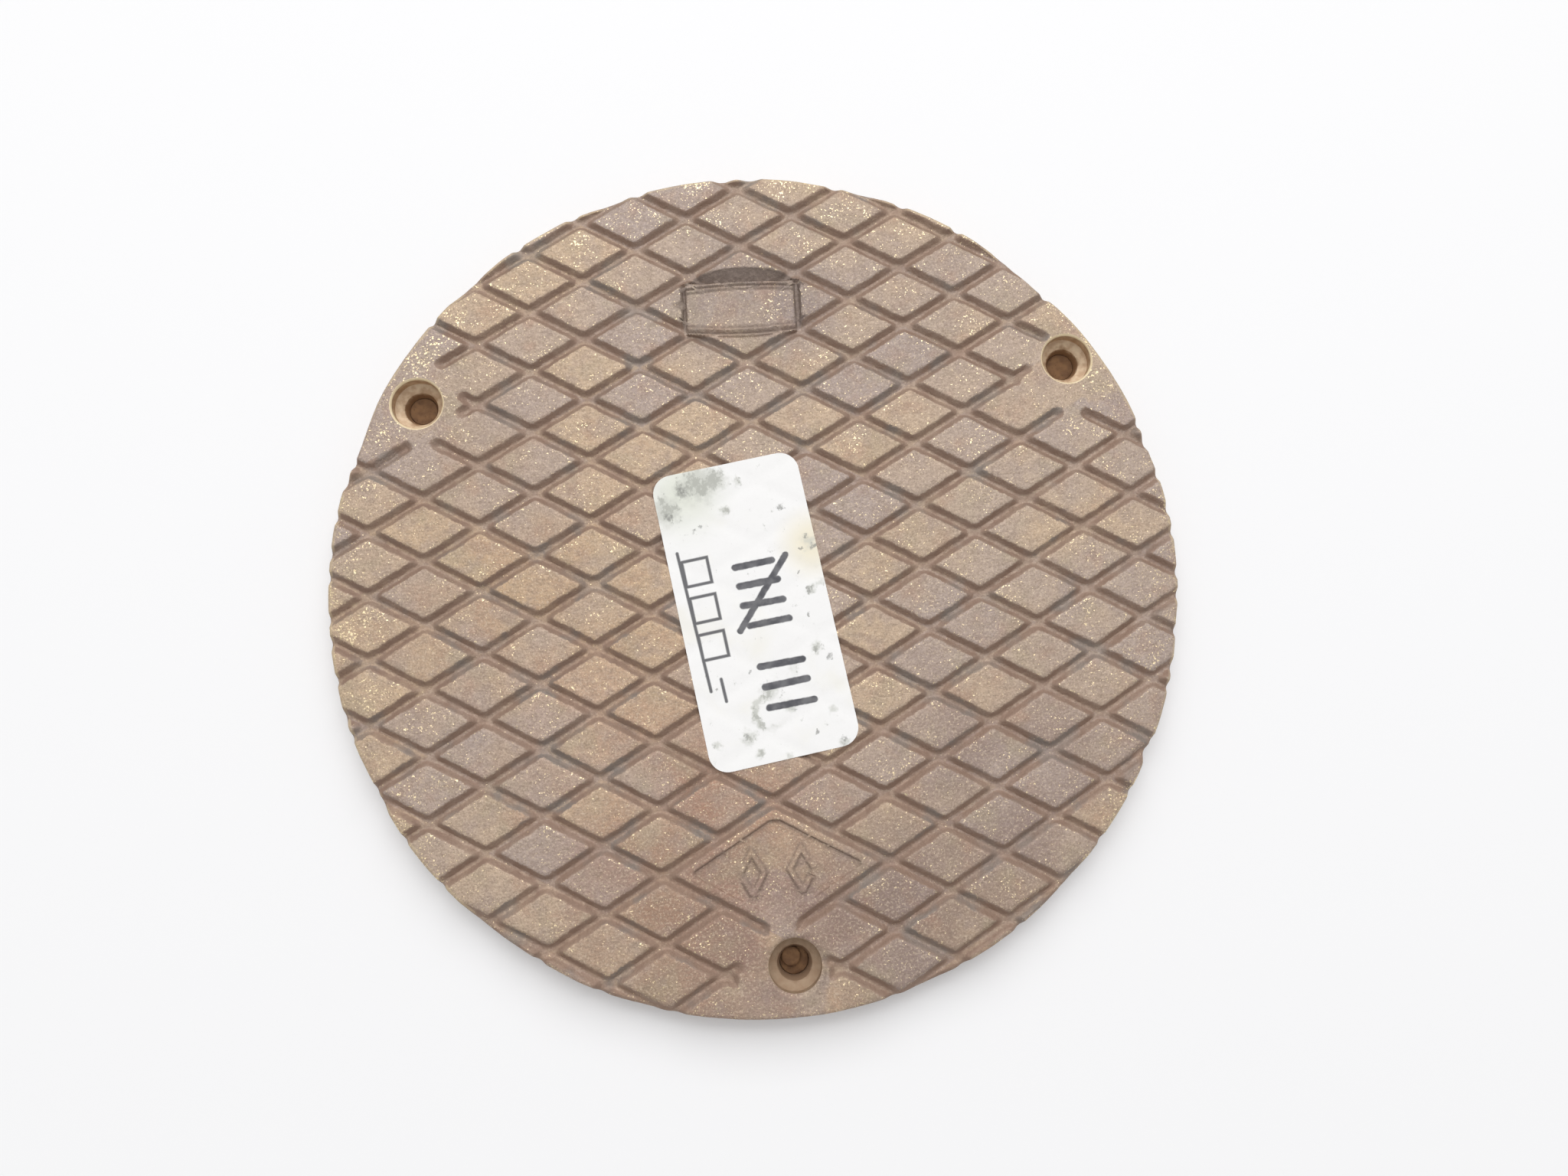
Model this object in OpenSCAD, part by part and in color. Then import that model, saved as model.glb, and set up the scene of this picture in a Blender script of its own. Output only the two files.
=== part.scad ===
// Floor cleanout cover: one cast bronze disc with a diamond tread of grooves, three
// counterbored screw holes near the rim, a framed badge field, a large lipped diamond,
// a shallow relief underneath, and a paper label stuck on the tread.
// Millimetres. Origin at the centre of the underside, +Z up through the tread,
// +X along the long diagonals of the tread diamonds.

/* [Cover] */
// Diameter of the cover at its top edge
cover_d = 147; // [140:0.5:160]
// Thickness from the seat to the top of the tread
cover_t = 6.4; // [5.8:0.1:9]
// How much narrower the cover is at its seat than at its top edge, per side
rim_draft = 0.4; // [0.1:0.1:1]
// Worn bevel along the top edge of the rim
edge_bevel = 0.45; // [0.2:0.05:0.8]

/* [Tread] */
// Distance between neighbouring grooves of one family, square to the grooves
groove_pitch = 9.525; // [8:0.025:12]
// Angle of each family of grooves to the long diagonals
groove_angle = 30; // [25:1:40]
// Width of a groove at the top of the tread
groove_w = 2.3; // [1.6:0.1:3]
// Width of a groove at its floor
groove_floor_w = 0.8; // [0.4:0.1:1.4]
// Depth of the grooves
groove_depth = 1; // [0.6:0.1:1.4]

/* [Screw holes] */
// Number of screw holes
bolt_count = 3; // [2:1:6]
// Distance of the bolt circle from the rim
bolt_inset = 6.825; // [6.5:0.025:9]
// How far the drilled circle is off the middle of the casting, left to right
bolt_shift_x = 0.5; // [-1:0.1:1]
// How far the drilled circle is off the middle of the casting, bottom to top
bolt_shift_y = 1.5; // [-2:0.1:2]
// Turn of the drilled circle from its bosses, in degrees
bolt_turn = 1.3; // [-2:0.1:2]
// Diameter of the clearance hole
hole_d = 5; // [4:0.1:5.6]
// Diameter of the counterbore for the screw head
counterbore_d = 8.8; // [8:0.1:10]
// Depth of the counterbore's straight wall
counterbore_depth = 2.3; // [1.8:0.1:2.8]
// Point angle of the counterbore drill
drill_point = 118; // [100:1:140]
// Width of the turned bevel at the mouth of the counterbore
mouth_bevel = 0.3; // [0.1:0.05:0.5]
// Radius of the plain boss that the grooves leave around each screw
boss_r = 6.9; // [6.5:0.1:8]

/* [Badge field] */
// Distance of the badge and the large diamond from the middle, taken to the nearest crossing
panel_reach = 49.5; // [46:0.5:52]
// How far the badge is off the middle line
badge_shift = -0.5; // [-1:0.1:1]
// Width between the outer sides of the badge recess
badge_w = 21.6; // [20:0.1:23]
// Height of the badge recess at its middle
badge_h = 12.8; // [12:0.1:14]
// Height of the raised badge plate at its middle
plate_h = 9.2; // [8:0.1:10]
// How far the recess and the plate bow outwards at the top and the bottom
badge_bow = 1.2; // [0.6:0.1:1.6]
// Width of the upright grooves at the two sides of the plate
badge_side_w = 1.25; // [0.8:0.05:1.8]
// How far the top of the plate lies below the top of the tread
plate_drop = 0.3; // [0.1:0.05:0.5]
// Width of the raised edge along the plate's bowed sides
plate_edge_w = 0.55; // [0.3:0.05:0.9]
// How far the plate's field lies below its raised edges
plate_edge_h = 0.2; // [0.1:0.05:0.3]

/* [Large diamond] */
// Width of the raised lip round the large diamond, square to its sides
lip_w = 1.15; // [0.8:0.05:1.6]
// How far the field inside the lip lies below the top of the tread
field_drop = 0.3; // [0.1:0.05:0.5]
// Width of the plain bridge from the large diamond to the screw boss below it
bridge_w = 3.6; // [2.4:0.1:5]

/* [Underside] */
// Width of the flat seat ring under the rim
seat_w = 14.5; // [13:0.5:18]
// Depth of the relief inside the seat ring
relief_depth = 2.2; // [1:0.1:2.6]
// Radius of the fillet where the relief meets its roof
relief_fillet = 1; // [0.4:0.1:1.4]

/* [Label] */
// Width of the paper label
label_w = 25.8; // [20:0.1:32]
// Height of the paper label
label_h = 52.1; // [40:0.1:60]
// Corner radius of the label
label_r = 3.3; // [1:0.1:5]
// Thickness of the paper with its glue
label_t = 0.15; // [0.1:0.01:0.3]
// Place of the label's middle to the right of the cover's middle
label_x = -1.26; // [-8:0.02:8]
// Place of the label's middle above the cover's middle
label_y = -5.94; // [-10:0.02:10]
// Turn of the label, counter-clockwise in degrees
label_turn = 9.1; // [-20:0.1:20]

/* [Hidden] */
$fn = 96;
// A cut runs this far past the face that it opens
past = 1;
cover_r = cover_d / 2;
// Half diagonals of one cell of the tread, from groove centre to groove centre
half_long = groove_pitch / (2 * sin(groove_angle));
half_short = groove_pitch / (2 * cos(groove_angle));
// Grooves lie at half pitches, so that a diamond stands at the middle of the cover
line_reach = floor(cover_r / groove_pitch - 0.5) + 0.5;
// Crossings on the middle line stand at odd multiples of the half diagonal
panel_row = 2 * round((panel_reach / half_short - 1) / 2) + 1;
panel_y = panel_row * half_short;
bolt_r = cover_r - bolt_inset;
boss_turn = 30;
bolt_step = 360 / bolt_count;
// The drill point narrows the counterbore to the throat, and a steeper cone to the hole
throat_r = hole_d / 2 + 0.45;
point_depth = (counterbore_d / 2 - throat_r) / tan(drill_point / 2);
throat_depth = 1.2;
hole_start = counterbore_depth + point_depth + throat_depth;
relief_r = cover_r - seat_w;

// Groove section: a flat floor and sloped walls, carried on above the tread
module groove_section() {
    wall_run = (groove_w - groove_floor_w) / 2;
    over = wall_run * past / groove_depth;
    polygon([
        [-groove_floor_w / 2, -groove_depth],
        [groove_floor_w / 2, -groove_depth],
        [groove_w / 2 + over, past],
        [-groove_w / 2 - over, past]
    ]);
}

// One straight groove along X at the given offset from the middle
module groove(offset_y) {
    translate([-cover_r - past, offset_y, cover_t])
        rotate([90, 0, 90])
            linear_extrude(2 * (cover_r + past)) groove_section();
}

// One family of parallel grooves at an angle to X
module groove_family(angle) {
    rotate([0, 0, angle])
        for (i = [-line_reach : line_reach]) groove(i * groove_pitch);
}

// A diamond prism centred on the middle line, its sides this far from its centre
module diamond(centre_y, side_reach, z_low, z_high) {
    long_reach = side_reach / sin(groove_angle);
    short_reach = side_reach / cos(groove_angle);
    translate([0, centre_y, z_low])
        linear_extrude(z_high - z_low)
            polygon([[long_reach, 0], [0, short_reach], [-long_reach, 0], [0, -short_reach]]);
}

// Plain boss at each screw: a round pad carried on outwards to the rim
module boss_pads() {
    for (i = [0 : bolt_count - 1])
        rotate([0, 0, boss_turn + i * bolt_step])
            translate([bolt_r, 0, 0]) {
                cylinder(r = boss_r, h = cover_t + 2 * past);
                translate([0, -boss_r, 0])
                    cube([bolt_inset + past, 2 * boss_r, cover_t + 2 * past]);
            }
}

// A block with straight sides whose top and bottom edges bow outwards
module bowed_block(width, height, bow, z_low, z_high) {
    bow_r = (width * width / 4 + bow * bow) / (2 * bow);
    translate([badge_shift, panel_y, z_low])
        intersection() {
            translate([-width / 2, -height / 2, 0]) cube([width, height, z_high - z_low]);
            translate([0, height / 2 - bow_r, 0]) cylinder(r = bow_r, h = z_high - z_low, $fn = 360);
            translate([0, bow_r - height / 2, 0]) cylinder(r = bow_r, h = z_high - z_low, $fn = 360);
        }
}

// What the badge takes out of the tread: side grooves and the hollow round its plate
module badge_recess() {
    top = cover_t + past;
    plate_top = cover_t - plate_drop;
    plate_w = badge_w - 2 * badge_side_w;
    difference() {
        bowed_block(badge_w, badge_h, badge_bow, cover_t - groove_depth, top);
        difference() {
            bowed_block(plate_w, plate_h, badge_bow / 2, 0, plate_top);
            bowed_block(plate_w + past, plate_h - 2 * plate_edge_w, badge_bow / 2,
                plate_top - plate_edge_h, top);
        }
    }
}

// The tread: all grooves, left out at the bosses, the badge and the large diamond
module tread_cuts() {
    // Four cells of the tread are joined in the large diamond
    diamond_reach = groove_pitch - groove_w / 2;
    difference() {
        union() {
            groove_family(groove_angle);
            groove_family(-groove_angle);
        }
        boss_pads();
        diamond(-panel_y, diamond_reach, 0, cover_t + 2 * past);
        bowed_block(badge_w - past, badge_h - past, badge_bow, 0, cover_t + 2 * past);
        // The plain bridge from the large diamond to the boss below it
        translate([bolt_shift_x - bridge_w / 2, -bolt_r, 0])
            cube([bridge_w, bolt_r - panel_y, cover_t + 2 * past]);
    }
    badge_recess();
    diamond(-panel_y, diamond_reach - lip_w, cover_t - field_drop, cover_t + past);
}

// One screw hole: bevelled mouth, counterbore, drill point, throat and clearance hole
module screw_hole() {
    counterbore_r = counterbore_d / 2;
    rotate_extrude()
        polygon([
            [0, -past],
            [hole_d / 2, -past],
            [hole_d / 2, cover_t - hole_start],
            [throat_r, cover_t - counterbore_depth - point_depth],
            [counterbore_r, cover_t - counterbore_depth],
            [counterbore_r, cover_t - mouth_bevel],
            [counterbore_r + mouth_bevel + past, cover_t + past],
            [0, cover_t + past]
        ]);
}

// The plain disc with its draft, top bevel and relieved underside
module disc() {
    seat_r = cover_r - rim_draft;
    difference() {
        rotate_extrude($fn = 180)
            polygon([
                [0, 0],
                [seat_r, 0],
                [cover_r, cover_t - groove_depth - edge_bevel],
                [cover_r, cover_t - edge_bevel],
                [cover_r - edge_bevel, cover_t],
                [0, cover_t]
            ]);
        rotate_extrude($fn = 180)
            difference() {
                translate([0, -past]) square([relief_r, relief_depth + past]);
                translate([relief_r - relief_fillet, relief_depth - relief_fillet])
                    difference() {
                        square(relief_fillet + past);
                        circle(r = relief_fillet);
                    }
            }
    }
}

module cover() {
    color("#A8937F")
        difference() {
            disc();
            tread_cuts();
            translate([bolt_shift_x, bolt_shift_y, 0])
                for (i = [0 : bolt_count - 1])
                    rotate([0, 0, boss_turn + bolt_turn + i * bolt_step])
                        translate([bolt_r, 0, 0]) screw_hole();
        }
}

module paper_label() {
    straight_w = label_w - 2 * label_r;
    straight_h = label_h - 2 * label_r;
    color("#F1EFEA")
        translate([label_x, label_y, cover_t])
            rotate([0, 0, label_turn])
                linear_extrude(label_t) {
                    square([straight_w, label_h], center = true);
                    square([label_w, straight_h], center = true);
                    for (sx = [-1, 1], sy = [-1, 1])
                        translate([sx * straight_w / 2, sy * straight_h / 2]) circle(r = label_r);
                }
}

cover();
paper_label();
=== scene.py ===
import functools
import math
import random
import bmesh
import bpy
from mathutils import Matrix, Vector, noise


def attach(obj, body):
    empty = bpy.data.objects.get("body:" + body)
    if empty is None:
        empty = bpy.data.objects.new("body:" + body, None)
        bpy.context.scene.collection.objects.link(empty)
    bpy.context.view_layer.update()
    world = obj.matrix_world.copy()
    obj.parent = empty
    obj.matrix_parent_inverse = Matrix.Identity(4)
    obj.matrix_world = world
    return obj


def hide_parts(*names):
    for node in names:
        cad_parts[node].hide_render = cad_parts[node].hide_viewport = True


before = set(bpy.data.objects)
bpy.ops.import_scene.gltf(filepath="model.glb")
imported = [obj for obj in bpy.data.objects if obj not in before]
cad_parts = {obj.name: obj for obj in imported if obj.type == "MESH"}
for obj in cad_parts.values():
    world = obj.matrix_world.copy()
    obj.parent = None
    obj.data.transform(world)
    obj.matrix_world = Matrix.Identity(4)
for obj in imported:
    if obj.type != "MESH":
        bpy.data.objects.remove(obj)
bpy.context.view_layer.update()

# Pieces are modelled in millimetres and brought to metres when they are finished
mm = 0.001
root3 = math.sqrt(3)


def smooth(lo, hi, x):
    # 0 up to lo, 1 from hi, with a soft way between them
    t = min(max((x - lo) / (hi - lo), 0), 1)
    return t * t * (3 - 2 * t)


def wave(x, y, size, seed, z=0):
    # smooth noise from -1 to 1 with features about this many mm wide
    return noise.noise(Vector((x / size + seed * 7.31, y / size - seed * 3.17, z / size + seed)))


def within(x, y, box):
    # whether a place is inside a box given as its middle and its half sides
    return abs(x - box[0]) < box[2] and abs(y - box[1]) < box[3]


# Camera, at the photograph's place

cameraSet = {
    "place": (-4.517, -28.797, 187.122),       # mm in the cover's frame
    "turn": (8.3968, -2.1831, -3.5919),        # degrees, XYZ
    "lens": 24.369,                            # on this width of sensor
    "sensor": 36,
    "nearest": 0.005,                          # metres
}
camData = bpy.data.cameras.new("camera")
camData.lens = cameraSet["lens"]
camData.sensor_fit = "HORIZONTAL"
camData.sensor_width = cameraSet["sensor"]
camData.clip_start = cameraSet["nearest"]
camera = bpy.data.objects.new("camera", camData)
camera.location = Vector(cameraSet["place"]) * mm
camera.rotation_euler = [math.radians(a) for a in cameraSet["turn"]]
bpy.context.scene.collection.objects.link(camera)
bpy.context.scene.camera = camera
print("camera set")


# Materials

def srgb(hexColour):
    # sRGB hex to the linear colour that sockets take
    parts = [int(hexColour[i:i + 2], 16) / 255 for i in (1, 3, 5)]
    return tuple(c / 12.92 if c <= 0.04045 else ((c + 0.055) / 1.055) ** 2.4 for c in parts) + (1,)


usualSettings = {"MapRange": {"interpolation_type": "SMOOTHSTEP"}, "Mix": {"data_type": "RGBA"}}


def addNode(tree, kind, *values, out=None, **settings):
    # One node of a kind, whose operation may follow it. The values, or other nodes' outputs, go to its
    # inputs in order, and so does a setting whose name starts with a capital. It gives back one output.
    kind, _, operation = kind.partition(" ")
    node = tree.nodes.new("ShaderNode" + kind)
    if operation:
        node.operation = operation
    inputs = {name.replace("_", " "): value for name, value in settings.items() if name[0].isupper()}
    for name, value in {**usualSettings.get(kind, {}), **settings}.items():
        if name[0].islower():
            setattr(node, name, value)
    inOrder = [socket for socket in node.inputs if socket.enabled]
    pairs = list(zip(inOrder, values)) + [(node.inputs[name], value) for name, value in inputs.items()]
    for socket, value in pairs:
        if isinstance(value, bpy.types.NodeSocket):
            tree.links.new(value, socket)
        else:
            socket.default_value = value
    if out:
        return node.outputs[out]
    return next((socket for socket in node.outputs if socket.enabled), None)


def newMaterial(name):
    # an empty material, with what adds its nodes, the place in mm of the object's own space, and what
    # makes its noise
    mat = bpy.data.materials.new(name)
    mat.use_nodes = True
    mat.node_tree.nodes.clear()
    add = functools.partial(addNode, mat.node_tree)
    place = add("Mapping", add("TexCoord", out="Object"), Scale=(1 / mm, 1 / mm, 1 / mm))

    def grain(size, detail=2, rough=0.5, seed=0, stretch=(1, 1, 1)):
        # features about this many mm wide; each seed lies in another place
        moved = add("Mapping", place, Location=(seed * 13.7, seed * 5.3, seed * 3.1), Scale=stretch)
        return add("TexNoise", moved, Scale=1 / size, Detail=detail, Roughness=rough)

    return mat, add, place, grain


def spotAt(add, place, x, y, radius, soft):
    # 1 at a place on the tread, falling to 0 at the radius over this share of it
    return add("MapRange", add("VectorMath DISTANCE", place, (x, y, 0)), radius, radius * (1 - soft))


def finished(mat, add, height, strength, deep, **sockets):
    # the material with its shader, and a fine relief this many mm deep
    bump = add("Bump", Strength=strength, Distance=deep * mm, Height=height)
    add("OutputMaterial", add("BsdfPrincipled", Normal=bump, **sockets))
    return mat


bronzeSet = {
    "tops": ("#B3A29A", "#CBB297"),        # between these by diamond and by place
    # broad zones of colour, darker and pinker towards the bottom: place and radius in mm, colour and strength
    "zones": (
        (-36, -6, 46, "#C8A987", 0.75), (58, 2, 52, "#B2A29A", 0.75), (-30, -22, 18, "#C8A78F", 0.65),
        (-12, -42, 30, "#AF836A", 0.85), (-2, -62, 32, "#9A7C70", 0.95), (-24, -60, 24, "#9C7A68", 0.75),
        (24, -58, 28, "#88736C", 0.8), (38, -38, 36, "#9A857D", 0.9), (-44, 30, 24, "#B8A087", 0.6),
        (26, 4, 14, "#B9A283", 0.5), (4, 56, 36, "#A99A92", 0.75), (30, 48, 26, "#A7978F", 0.7),
        (-5, 49, 15, "#A59690", 0.75), (9, 48, 15, "#9D8E8A", 0.9),
    ),
    # layers over them: width of the features in mm, detail, roughness, seed, stretch, the noise at which
    # the layer starts and is full, its most and its colour
    "layers": (
        (5, 2, 0.5, 2, (1, 1, 1), 0.5, 0.75, 0.45, "#B08B75"),           # islands of ruddier oxide
        (6, 2, 0.5, 11, (1, 1, 1), 0.52, 0.75, 0.45, "#AD9F85"),         # greener ones
        (4, 3, 0.5, 17, (1, 1, 1), 0.5, 0.7, 0.4, "#A3918B"),            # mauve ones
        (1.6, 3, 0.6, 12, (1, 1, 1), 0.38, 0.7, 0.3, "#9E8A7C"),         # mottling
        (0.5, 3, 0.7, 18, (0.35, 1, 1), 0.45, 0.66, 0.3, "#8E7B6C"),     # fibrous streaks
        (0.34, 2, 0.7, 3, (1, 1, 1), 0.46, 0.66, 0.4, "#857161"),        # the sand grain's hollows
        (0.42, 2, 0.7, 13, (1, 1, 1), 0.5, 0.68, 0.44, "#DCC8B0"),       # and its grains
    ),
    # the grime colour also paints shade in the badge and the large diamond
    "oxides": ("#977E6E", "#8C8179"), "grimeAndShade": "#77685F", "rimLine": "#D3BF9F", "bright": "#F2DDB4",
    "metal": 0.3, "brightMetal": 0.5, "relief": 0.14,
}


def castBronze():
    # Cast red bronze under a thin brown oxide skin: dull and warm, with a fine sand grain from the
    # mould, dark walls to its grooves, and golden specks where the tops and edges are rubbed.
    mat, add, place, grain = newMaterial("cast bronze, sand cast and oxidised")
    flat = add("VectorMath MULTIPLY", place, (1, 1, 0))
    s = bronzeSet
    worn, groove, grimeAndShade, tint = (
        add("Attribute", attribute_name=name, out="Fac") for name in ("worn", "groove", "grimeAndShade", "tint"))
    # each diamond a little its own colour, over a broad drift of the oxide
    drift = add("Math MULTIPLY", grain(22, 1, seed=1), 0.45)
    own = add("Math ADD", add("Math MULTIPLY", tint, 0.55), drift)
    colour = add("Mix", add("MapRange", own, 0.22, 0.7), srgb(s["tops"][0]), srgb(s["tops"][1]))
    for x, y, radius, hexColour, most in s["zones"]:
        ragged = add("MapRange", grain(11, 2, seed=radius), 0.25, 0.65)
        zone = add("Math MULTIPLY", spotAt(add, flat, x, y, radius, 0.9), ragged)
        colour = add("Mix", add("Math MULTIPLY", zone, most), colour, srgb(hexColour))
    for size, detail, rough, seed, stretch, start, full, most, hexColour in s["layers"]:
        layer = add("MapRange", grain(size, detail, rough, seed, stretch), start, full, 0, most)
        colour = add("Mix", layer, colour, srgb(hexColour))
    # oxide lies dark on the groove walls, with ragged edges, and thinner along the middle of the floors
    shake = add("Math ADD", add("MapRange", grain(1.1, 3, 0.65, 5), 0.25, 0.75, -0.15, 0.15),
                add("MapRange", grain(0.4, 2, 0.6, 19), 0.3, 0.7, -0.08, 0.08))
    into = add("Math ADD", groove, shake)
    walls = add("Math MULTIPLY", add("MapRange", into, -0.07, 0.13),
                add("MapRange", grain(3, 3, 0.6, 14), 0.3, 0.65, 0.62, 1))
    floors = add("Math MULTIPLY", add("MapRange", into, 0.8, 1.0),
                 add("MapRange", grain(1.8, 3, seed=15), 0.3, 0.6, 0.12, 0.58))
    dark = add("Math MULTIPLY", walls, add("Math SUBTRACT", 1, floors))
    # grime and painted shade in the badge and the large diamond
    lines = add("Math MULTIPLY", grimeAndShade, add("MapRange", grain(0.9, 3, 0.6, 20), 0.25, 0.6, 0.7, 1))
    oxide = add("Mix", add("MapRange", grain(7, 2, seed=29), 0.5, 0.7),
                srgb(s["oxides"][0]), srgb(s["oxides"][1]))
    colour = add("Mix", lines, add("Mix", dark, colour, oxide), srgb(s["grimeAndShade"]))
    dark = add("Math MAXIMUM", dark, lines)
    # rubbed specks, sand grains about 0.35 mm across, in patches and along the rim
    patches = add("MapRange", grain(7, 3, 0.6, 7), 0.4, 0.7, 0.04, 0.13)
    wornPatches = add("MapRange", grain(5, 2, seed=16), 0.36, 0.62, 0.02, 0.14)
    need = add("Math SUBTRACT", add("Math SUBTRACT", 0.77, patches), add("Math MULTIPLY", worn, wornPatches))
    need = add("Math ADD", need, add("Math MULTIPLY", dark, 0.1))
    bright = add("MapRange", add("Math SUBTRACT", grain(0.34, 1, seed=6), need), 0, 0.05)
    # larger rubbed flakes on worn edges
    rubbed = add("Math MULTIPLY", add("MapRange", worn, 0.4, 1),
                 add("MapRange", grain(8, 2, seed=30), 0.44, 0.6))
    flakes = add("Math SUBTRACT", grain(0.75, 3, 0.6, 28),
                 add("Math SUBTRACT", 0.82, add("Math MULTIPLY", rubbed, 0.22)))
    bright = add("Math MAXIMUM", bright, add("MapRange", flakes, 0, 0.06))
    rimLine = add("Math MULTIPLY", add("MapRange", worn, 0.86, 1),
                  add("MapRange", grain(4, 3, 0.6, 39), 0.35, 0.6, 0.15, 0.6))
    colour = add("Mix", rimLine, colour, srgb(s["rimLine"]))
    colour = add("Mix", bright, colour, srgb(s["bright"]))
    rough = add("Math SUBTRACT", add("MapRange", grain(0.8, 2, seed=8), 0.3, 0.7, 0.56, 0.7),
                add("Math MULTIPLY", bright, 0.25))
    metal = add("Math ADD", s["metal"], add("Math MULTIPLY", bright, s["brightMetal"]))
    relief = add("Math ADD", grain(0.4, 2, 0.6, 9), add("Math MULTIPLY", grain(1.5, 2, seed=10), 1.2))
    return finished(mat, add, relief, 0.7, s["relief"], Base_Color=colour, Metallic=metal, Roughness=rough)


drilledSet = {
    # the lip's near-white colours are a painted highlight over the paler clean metal
    "clean": ("#C2A486", "#DEC7A9"), "lip": ("#EDD6AA", "#FAEBCD"), "depthBrown": "#8C6B4C", "dull": "#917862",
    "depthBrownFrom": (3.5, 2.7),              # heights between which the darker brown begins and is full
    "lipGlintFrom": (5.9, 5.98),
    "dullHole": (2, -65.2, 8, 0.2),     # the lowest hole's place, and how far round it the metal is dull
    "metal": 0.4, "rough": 0.45,
}


def drilledBronze():
    # The same bronze where a drill cut it clean: pale yellow metal with fine rings, a painted highlight on
    # the turned lip of the hole over the paler clean metal there, and darker brown towards the bottom.
    mat, add, place, grain = newMaterial("bronze, freshly drilled")
    flat = add("VectorMath MULTIPLY", place, (1, 1, 0))
    s = drilledSet
    height = add("SeparateXYZ", place, out="Z")
    rings = grain(0.22, 2, seed=21, stretch=(0.1, 0.1, 1))
    colour = add("Mix", add("MapRange", grain(1.2, 3, seed=22), 0.3, 0.7), *map(srgb, s["clean"]))
    # darker brown towards the bottom of the hole, with an uneven edge
    uneven = add("Math ADD", height, add("MapRange", grain(1.5, 3, seed=23), 0.2, 0.8, -0.4, 0.4))
    depthBrown = add("MapRange", uneven, *s["depthBrownFrom"])
    colour = add("Mix", depthBrown, colour, srgb(s["depthBrown"]))
    # the lowest hole is dull with dirt all the way up
    dull = add("Math MULTIPLY", spotAt(add, flat, *s["dullHole"]), 0.75)
    colour = add("Mix", dull, colour, srgb(s["dull"]))
    # painted highlight: the turned lip is near white and not metallic, over the paler clean metal there
    lip = add("Math MULTIPLY", add("MapRange", height, *s["lipGlintFrom"]),
              add("MapRange", dull, 0, 0.75, 1, 0.35))
    colour = add("Mix", lip, colour, add("Mix", grain(0.7, 2, seed=26), *map(srgb, s["lip"])))
    cover = add("Math MAXIMUM", dull, add("Math MAXIMUM", depthBrown, lip))
    metal = add("Math SUBTRACT", s["metal"], add("Math MULTIPLY", cover, s["metal"]))
    rough = add("Math ADD", s["rough"], add("Math MULTIPLY", add("Math MAXIMUM", depthBrown, dull), 0.4))
    return finished(mat, add, rings, 0.35, 0.06, Base_Color=colour, Metallic=metal, Roughness=rough)


def packedSoil():
    # Dry brown dirt and old thread compound: matt, smooth in the middle and crumbly at places.
    mat, add, _, grain = newMaterial("packed soil, dry")
    clods = add("MapRange", grain(1.6, 3, 0.5, 24), 0.35, 0.65)
    colour = add("Mix", clods, srgb("#6B4D34"), srgb("#805F40"))
    crumbs = add("MapRange", grain(0.5, 2, 0.5, 27), 0.6, 0.75, 0, 0.6)
    colour = add("Mix", crumbs, colour, srgb("#4E3724"))
    return finished(mat, add, grain(0.5, 3, 0.6, 25), 0.5, 0.1, Base_Color=colour, Roughness=0.85)


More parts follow.
